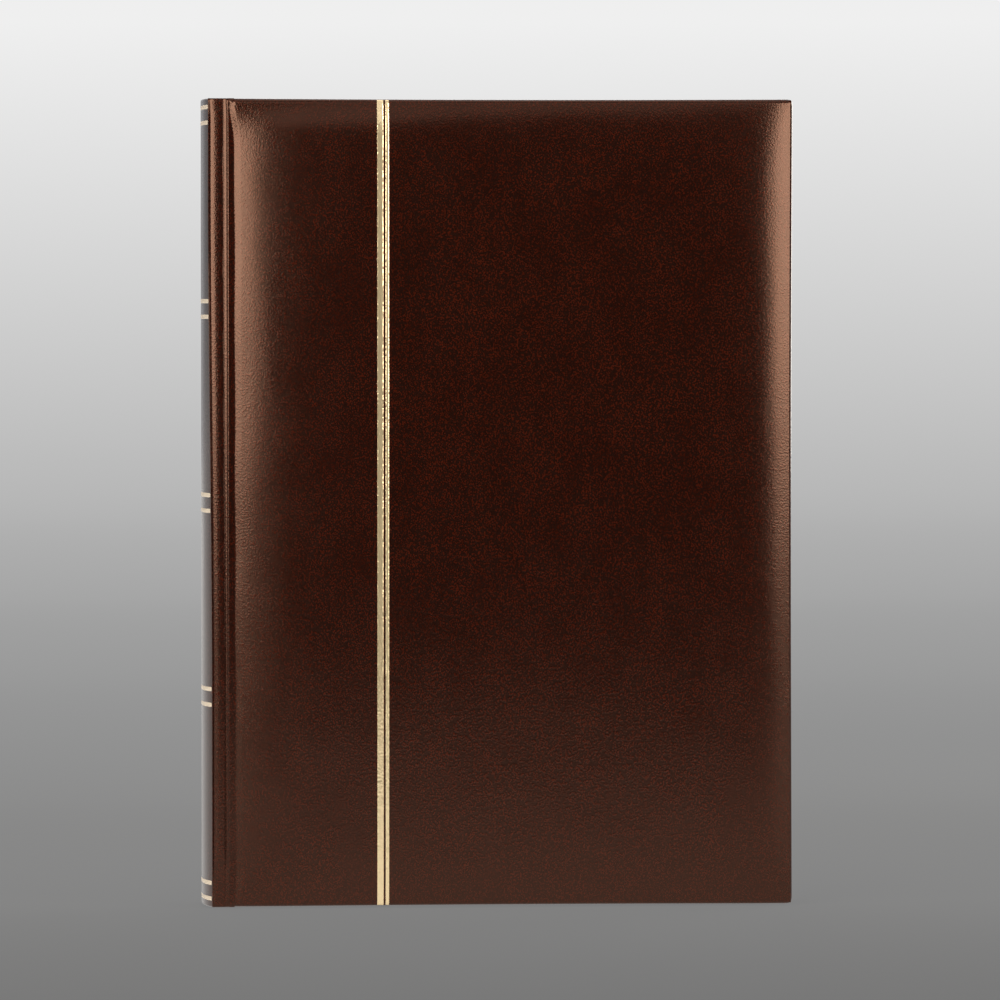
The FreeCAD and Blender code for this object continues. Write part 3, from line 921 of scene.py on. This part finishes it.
LINEN_TOP = 3.2
LINEN_HALF = 0.16
LINEN_TURN_IN_GAP = 0.1
BLOCK_PATH = (
    (-106.2, 0.08), (-107.4, 0.08), (-108.6, 0.09), (-109.2, 0.2),
    (-109.55, 0.6), (-109.65, 1.2), (-109.65, 1.8), (-109.64, 2.3),
    (-109.55, 2.75), (-109.25, 3.08), (-108.9, 3.18), (STRIP_SEAM_X, LINEN_TOP),
)
BOARD_PATH = (
    (STRIP_SEAM_X, LINEN_TOP), (-107.8, LINEN_TOP), (-107.1, LINEN_TOP), (-106.6, 3.14), (-106.15, 2.97),
    (-105.8, 2.65), (-105.6, 2.2), (-105.5, 1.6), (-105.46, 1.0), (-105.3, 0.68),
    (-104.6, 0.63), (-100.0, 0.64), (-92.0, 0.64), (-83.4, 0.64),
)
LAST_OFF_BOARD = 8  # the last point of the path before the linen lies on the board


def linen_strip(name, path, half_thickness, tails, heads, side):
    """A band of linen along a path of (place, level), with the heights of tail and head at each point."""
    path = np.array(path)
    rows = 24
    along = np.gradient(path, axis=0)
    along /= np.linalg.norm(along, axis=1)[:, None]
    normal = np.stack([-along[:, 1], along[:, 0]], axis=1)
    share = np.linspace(0.0, 1.0, rows)[:, None]
    z = np.array(tails)[None, :] * (1 - share) + np.array(heads)[None, :] * share
    grids = []
    for way in (1, -1):
        spot = path + normal * (np.array(half_thickness) * way)[:, None]
        x = np.broadcast_to(spot[:, 0], z.shape)
        y = np.broadcast_to(outward_y(side, spot[:, 1]), z.shape)
        grids.append(np.stack([x, y, z], axis=-1))
    return closed_sheet(name, grids[0], grids[1], linen_finish)


for name, side in (("front", -1), ("back", 1)):
    count = len(BLOCK_PATH)
    inner_strip = linen_strip(
        f"{name}_hinge_linen_block_side",
        BLOCK_PATH,
        [LINEN_HALF] * count,
        [LEAF_TAIL_Z] * count,
        [LEAF_HEAD_Z] * count,
        side,
    )
    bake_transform(inner_strip)
    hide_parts(f"{name}_joint_linen")
    on_board = np.clip(np.arange(len(BOARD_PATH)) - LAST_OFF_BOARD, 0, 1)
    outer_strip = linen_strip(
        f"{name}_hinge_linen_board_side",
        BOARD_PATH,
        LINEN_HALF * (1 + on_board),
        LEAF_TAIL_Z + (TURN_IN_WIDTH - LEAF_TAIL_Z + LINEN_TURN_IN_GAP) * on_board,
        LEAF_HEAD_Z - (LEAF_HEAD_Z - HEAD_Z + TURN_IN_WIDTH + LINEN_TURN_IN_GAP) * on_board,
        side,
    )
    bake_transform(outer_strip)
    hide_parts(f"{name}_joint_linen", f"{name}_board_linen")


# Endpapers: a sheet of cream laid paper pasted over the inner face of each cover, leaving a margin of
# leatherette at head, tail and fore-edge and lapping over the linen at the joint.


def laid_paper():
    material, tree, shader = new_finish("endpaper")
    place = in_millimetres(tree)
    fibre = cloudy(tree, place, 1.4, 6.0, 0.7)
    cloud = cloudy(tree, place, 0.05, 4.0)
    wave_sockets = {"Vector": place, "Scale": 0.32, "Distortion": 0.6, "Detail": 1.0}
    laid = add(tree, "ShaderNodeTexWave", wave_sockets, bands_direction="Z").outputs[1]
    mottle = spread(tree, cloud, 0.3, 0.7)
    base = colour_between(tree, mottle, (0.62, 0.55, 0.43, 1), (0.70, 0.64, 0.52, 1))
    tone = colour_between(tree, spread(tree, fibre, 0.55, 0.8, 0.0, 0.5), base, (0.50, 0.42, 0.30, 1))
    tree.links.new(tone, shader.inputs["Base Color"])
    shader.inputs["Roughness"].default_value = 0.8
    height = sums(tree, "ADD", sums(tree, "MULTIPLY", laid, 0.3), fibre)
    emboss(tree, shader, height, 0.5, 0.06)
    return material


paper_finish = laid_paper()
for node in ("front_endpaper", "back_endpaper"):
    finish_node(node, paper_finish)


# Studio: a grey floor that runs back out of sight to a paler backdrop. Softboxes light the album from the
# front left and right, from behind and from the right of the back, with a panel above the front and a
# box overhead. A long lens stands a little to the left of the front.

FLOOR_FRONT_EDGE = -0.79
FLOOR_BOX = ((-7.0, -7.0), (7.0, 9.0))
FLOOR_DROP = 0.0005  # below the album, so that the two do not flicker
# The floor's tone as it is seen: a place from front to back, and the tone there.
FLOOR_TONES = (
    (-0.6, 0.178), (0.0, 0.238), (0.72, 0.267), (2.0, 0.315), (3.5, 0.376), (6.0, 0.448), (9.0, 0.497),
)
BACKDROP_TONES = (0.497, 0.863)
BACKDROP_HEIGHTS = (-0.0187, 0.0299)
LEFT_TO_MIDDLE = (-0.24, 0.02)  # the part of the room in which reflections fall off to the left
# The floor's painted reflection, which shiny pieces mirror: REAR_FLOOR_LIGHT and the settings from
# FRONT_EDGE_SOFTNESS to UNDER_ALBUM set its painted light and painted shade.
REAR_FLOOR_LIGHT = (0.58, 0.86)
REAR_ROOM_LIGHT = (0.27, 0.65)
FRONT_EDGE_SOFTNESS = 0.05
FRONT_LIGHT = (0.02, 1.17)  # before the floor's lit front edge and past it
SHADE_SPAN = (-0.7, -0.1)
SHADE_LIGHT = (1.0, 0.6)
SIDE_SPAN = (-0.06, 0.1)
SIDE_LIGHT = (1.0, 0.35)
FAR_SPAN = (1.5, 2.6)
UNDER_ALBUM = 0.02
SHADOW_SPAN = (0.3, 1.6)
SHADOW_SHARE = 0.17


def even_spread(tree, value, span, to_span):
    """A value within a span, spread evenly over another span."""
    sockets = {0: value, 1: span[0], 2: span[1], 3: to_span[0], 4: to_span[1]}
    return add(tree, "ShaderNodeMapRange", sockets).outputs[0]


def by_ray(tree, share, other, chosen):
    """One shader or another, by the share of the second."""
    return add(tree, "ShaderNodeMixShader", {0: share, 1: other.outputs[0], 2: chosen.outputs[0]})


def floor_finish():
    material, tree, shader = new_finish("studio_floor")
    output = next(n for n in tree.nodes if n.type == "OUTPUT_MATERIAL")
    place = add(tree, "ShaderNodeTexCoord").outputs["Object"]
    x, y, _ = add(tree, "ShaderNodeSeparateXYZ", {0: place}).outputs
    front, rear = FLOOR_TONES[0][0], FLOOR_TONES[-1][0]
    ramp = add(tree, "ShaderNodeValToRGB", {0: even_spread(tree, y, (front, rear), (0.0, 1.0))})
    ramp.color_ramp.interpolation = "CARDINAL"
    stops = ramp.color_ramp.elements
    for number, (place_y, tone) in enumerate(FLOOR_TONES):
        share = (place_y - front) / (rear - front)
        stop = stops[number] if number < 2 else stops.new(share)
        stop.position = share
        stop.color = (tone, tone, tone, 1)
    seen_tone = ramp.outputs[0]
    # What shiny pieces mirror of the floor is a painted reflection. For reflected rays the floor glows,
    # with painted light in front of the album, painted shade near it and painted light behind it.
    sideways = sums(tree, "DIVIDE", x, sums(tree, "MAXIMUM", y, 0.1))
    rearward = even_spread(tree, sideways, LEFT_TO_MIDDLE, REAR_FLOOR_LIGHT)
    side_dim = sums(tree, "MAXIMUM", spread(tree, x, *SIDE_SPAN, *SIDE_LIGHT), spread(tree, y, *FAR_SPAN))
    rearward = sums(tree, "MULTIPLY", rearward, side_dim)
    edge_span = (FLOOR_FRONT_EDGE - FRONT_EDGE_SOFTNESS, FLOOR_FRONT_EDGE + FRONT_EDGE_SOFTNESS)
    lit_front = spread(tree, y, *edge_span, *FRONT_LIGHT)
    shaded = spread(tree, y, *SHADE_SPAN, *SHADE_LIGHT)
    behind = spread(tree, y, -UNDER_ALBUM, UNDER_ALBUM)
    before = sums(tree, "SUBTRACT", 1.0, behind)
    front_share = sums(tree, "MULTIPLY", shaded, before)
    rear_share = sums(tree, "MULTIPLY", rearward, behind)
    painted_reflection_level = sums(tree, "MULTIPLY", lit_front, sums(tree, "ADD", front_share, rear_share))
    shader.inputs["Base Color"].default_value = (0.62, 0.62, 0.62, 1)
    shader.inputs["Roughness"].default_value = 0.9
    rays = add(tree, "ShaderNodeLightPath").outputs
    seen = add(tree, "ShaderNodeEmission", {"Color": seen_tone, "Strength": 1.0})
    # Painted reflection: an emission that shiny pieces see on the floor in place of lamp light falling on
    # it.
    painted_reflection = add(tree, "ShaderNodeEmission", {"Color": (1.0, 0.985, 0.96, 1), "Strength": painted_reflection_level})
    shadowed = add(tree, "ShaderNodeBsdfDiffuse", {"Color": seen_tone})
    near = spread(tree, sums(tree, "ABSOLUTE", y, 0.0), *SHADOW_SPAN, SHADOW_SHARE, 0.0)
    floor_seen = by_ray(tree, near, seen, shadowed)
    glossy = sums(tree, "MAXIMUM", rays["Is Glossy Ray"], rays["Is Transmission Ray"])
    both = by_ray(tree, rays["Is Camera Ray"], by_ray(tree, glossy, shader, painted_reflection), floor_seen)
    tree.links.new(both.outputs[0], output.inputs["Surface"])
    return material


floor_mesh = bpy.data.meshes.new("studio_floor")
(left, front), (right, rear) = FLOOR_BOX
corners = [(x, y, -FLOOR_DROP) for x, y in ((left, front), (right, front), (right, rear), (left, rear))]
floor_mesh.from_pydata(corners, [], [(0, 1, 2, 3)])
floor_mesh.materials.append(floor_finish())
floor = bpy.data.objects.new("studio_floor", floor_mesh)
bpy.context.scene.collection.objects.link(floor)
floor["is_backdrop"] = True


def backdrop_world():
    world = bpy.data.worlds.new("studio_backdrop")
    world.use_nodes = True
    tree = world.node_tree
    tree.nodes.clear()
    way = add(tree, "ShaderNodeTexCoord").outputs["Generated"]
    part = add(tree, "ShaderNodeSeparateXYZ", {0: way}).outputs
    height = even_spread(tree, part[2], BACKDROP_HEIGHTS, (0.0, 1.0))
    low_tone, high_tone = ((tone, tone, tone, 1) for tone in BACKDROP_TONES)
    seen_tone = colour_between(tree, height, low_tone, high_tone)
    leftward = even_spread(tree, part[0], LEFT_TO_MIDDLE, REAR_ROOM_LIGHT)
    behind = sums(tree, "MULTIPLY", leftward, spread(tree, part[1], -0.1, 0.5, 0.05, 1.0))
    room = colour_between(tree, behind, (0.0, 0.0, 0.0, 1), (1.0, 1.0, 1.02, 1))
    seen = add(tree, "ShaderNodeBackground", {"Color": seen_tone, "Strength": 1.0})
    around = add(tree, "ShaderNodeBackground", {"Color": room, "Strength": 1.0})
    rays = add(tree, "ShaderNodeLightPath").outputs
    both = by_ray(tree, rays["Is Camera Ray"], around, seen)
    add(tree, "ShaderNodeOutputWorld", {"Surface": both.outputs[0]})
    return world


bpy.context.scene.world = backdrop_world()


def softbox(name, place, aim, width, height, power, colour):
    lamp = bpy.data.lights.new(name, "AREA")
    lamp.shape = "RECTANGLE"
    lamp.size = width
    lamp.size_y = height
    lamp.energy = power
    lamp.color = colour
    holder = bpy.data.objects.new(name, lamp)
    bpy.context.scene.collection.objects.link(holder)
    holder.location = place
    holder.rotation_euler = (Vector(aim) - Vector(place)).to_track_quat("-Z", "Y").to_euler()
    holder.visible_camera = False
    return holder


WARM = (1.0, 0.97, 0.88)
SOFT_WHITE = (1.0, 0.97, 0.94)
COOLER_WHITE = (1.0, 0.98, 0.96)
softbox("left_softbox", (-0.79, -1.0, 0.42), (-0.1, 0.0, 0.3), 1.12, 0.55, 13.0, WARM)
softbox("right_softbox", (0.886, -0.993, 0.42), (0.11, 0.0, 0.3), 0.628, 0.55, 7.7, WARM)
softbox("front_panel", (0.0, -1.314, 0.913), (0.0, 0.0, 0.3), 1.6, 0.777, 2.65, SOFT_WHITE)
softbox("overhead_softbox", (0.0, -0.25, 1.35), (0.0, 0.0, 0.2), 1.2, 0.8, 3.5, SOFT_WHITE)
softbox("rear_softbox", (-0.25, 1.6, 1.1), (0.0, 0.0, 0.15), 1.4, 0.9, 8.4, COOLER_WHITE)
softbox("rear_side_softbox", (0.9, 1.0, 0.42), (0.11, 0.0, 0.3), 0.63, 0.55, 7.0, WARM)

CAMERA_AZIMUTH = -5.5
CAMERA_ELEVATION = 1.3
CAMERA_DISTANCE = 3.5
CAMERA_LENS = 326.1
CAMERA_AIM = (0.0020, 0.0, 0.1555)

lens = bpy.data.cameras.new("studio_camera")
lens.lens = CAMERA_LENS
lens.sensor_width = 36.0
lens.clip_start = 0.1
lens.clip_end = 60.0
camera = bpy.data.objects.new("studio_camera", lens)
bpy.context.scene.collection.objects.link(camera)
azimuth, elevation = math.radians(CAMERA_AZIMUTH), math.radians(CAMERA_ELEVATION)
level = math.cos(elevation)
back = Vector((math.sin(azimuth) * level, -math.cos(azimuth) * level, math.sin(elevation)))
camera.location = Vector(CAMERA_AIM) + back * CAMERA_DISTANCE
camera.rotation_euler = (-back).to_track_quat("-Z", "Y").to_euler()
bpy.context.scene.camera = camera
bpy.context.scene.view_settings.view_transform = "Standard"

low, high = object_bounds()
